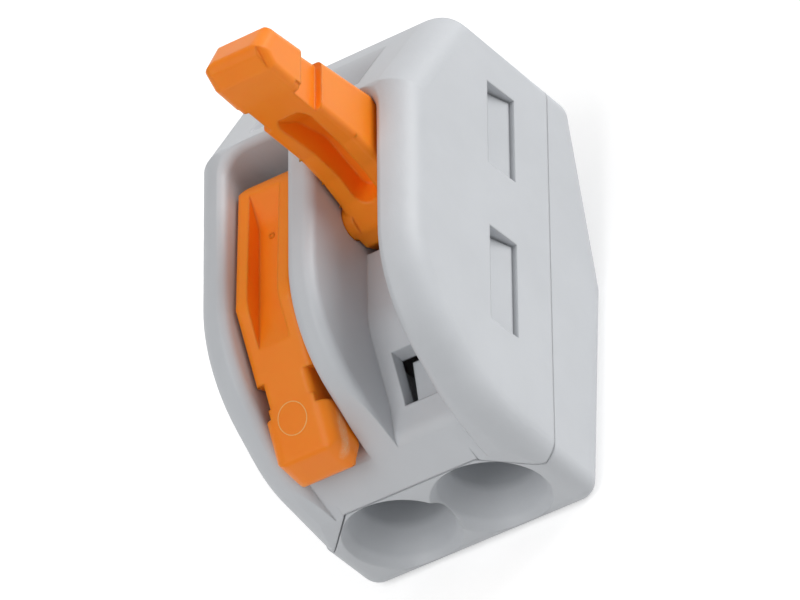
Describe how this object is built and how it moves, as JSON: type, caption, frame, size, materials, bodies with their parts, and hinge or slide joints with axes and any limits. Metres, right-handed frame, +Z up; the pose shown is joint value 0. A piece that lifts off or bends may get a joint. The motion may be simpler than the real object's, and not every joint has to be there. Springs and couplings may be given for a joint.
{
  "type": "lever wire connector",
  "caption": "Lever wire connector that clamps stripped wires under cage springs, with a closed lever and an open lever.",
  "frame": {"origin": "on the front facet of the base, which the connector rests on, under the middle of its length", "axes": "+X across the connector, -Y out of the wire entries, +Z up from the resting facet"},
  "size_m": [0.013, 0.0217, 0.0235],
  "materials": {
    "housing_grey": "fine moulded satin",
    "lever_orange": "smooth moulded satin",
    "spring_steel": "rolled strip",
    "tinned_copper": "matt tin plate"
  },
  "bodies": {
    "housing": {"housing_cover": "housing_grey", "wire_entry_base": "housing_grey", "cage_spring_left": "spring_steel", "cage_spring_right": "spring_steel", "current_bar": "tinned_copper"},
    "lever_left": {"lever_left": "lever_orange"},
    "lever_right": {"lever_right": "lever_orange"}
  },
  "joints": [
    {"name": "lever_left_hinge", "type": "hinge", "parent": "housing", "child": "lever_left", "pos_m": [-0.0025, 0.00048, 0.01188], "axis": [-1, 0, 0], "range_deg": [0, 110], "deforming": ["cage_spring_left"]},
    {"name": "lever_right_hinge", "type": "hinge", "parent": "housing", "child": "lever_right", "pos_m": [0.0025, 0.00048, 0.01188], "axis": [-1, 0, 0], "range_deg": [-110, 0], "deforming": ["cage_spring_right"]}
  ]
}
